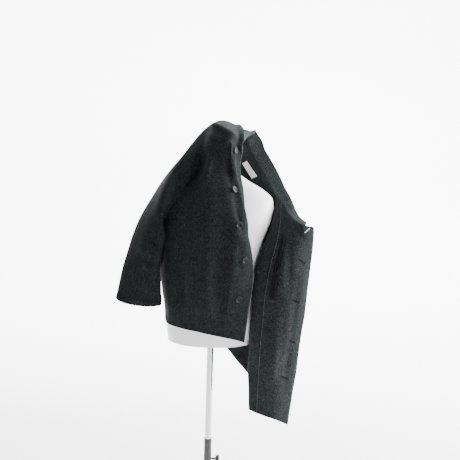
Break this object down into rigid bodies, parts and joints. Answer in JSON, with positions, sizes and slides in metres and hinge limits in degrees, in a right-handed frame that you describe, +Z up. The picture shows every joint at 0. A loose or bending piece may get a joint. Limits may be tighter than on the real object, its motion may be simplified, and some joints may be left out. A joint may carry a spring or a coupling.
{
  "type": "chore jacket on a limbless dress form with a pole stand",
  "caption": "Wool chore jacket slung open over one shoulder and the neck of a limbless dress form, which stands on a pole with a round base.",
  "frame": {"origin": "centre of the round base's underside", "axes": "+Z up along the pole, -Y is the side the form and the jacket's open front face, +X is the viewer's right seen from in front"},
  "size_m": [0.699, 0.339, 1.5672],
  "materials": {
    "melton": "matt felted wool",
    "label": "matt woven tape",
    "button": "satin",
    "form": "satin white",
    "cap": "satin white",
    "chrome": "polished",
    "stand": "satin black"
  },
  "bodies": {
    "stand": {"stand_base": "stand", "stand_tube": "stand", "stand_clamp_knob": "stand"},
    "form": {"stand_pole": "chrome", "form_torso": "form", "form_neck_cap": "cap", "jacket_front_right": "melton", "jacket_front_left": "melton", "jacket_back": "melton", "jacket_sleeve_right": "melton", "jacket_sleeve_left": "melton", "jacket_collar": "melton", "jacket_facing_left": "melton", "jacket_pocket_welt": "melton", "jacket_neck_label": "label", "jacket_button_1": "button", "jacket_button_2": "button", "jacket_button_3": "button", "jacket_button_4": "button", "jacket_button_5": "button"}
  },
  "joints": [
    {"name": "height", "type": "slide", "parent": "stand", "child": "form", "axis": [0, 0, 1], "range_m": [-0.14, 0.1]}
  ]
}
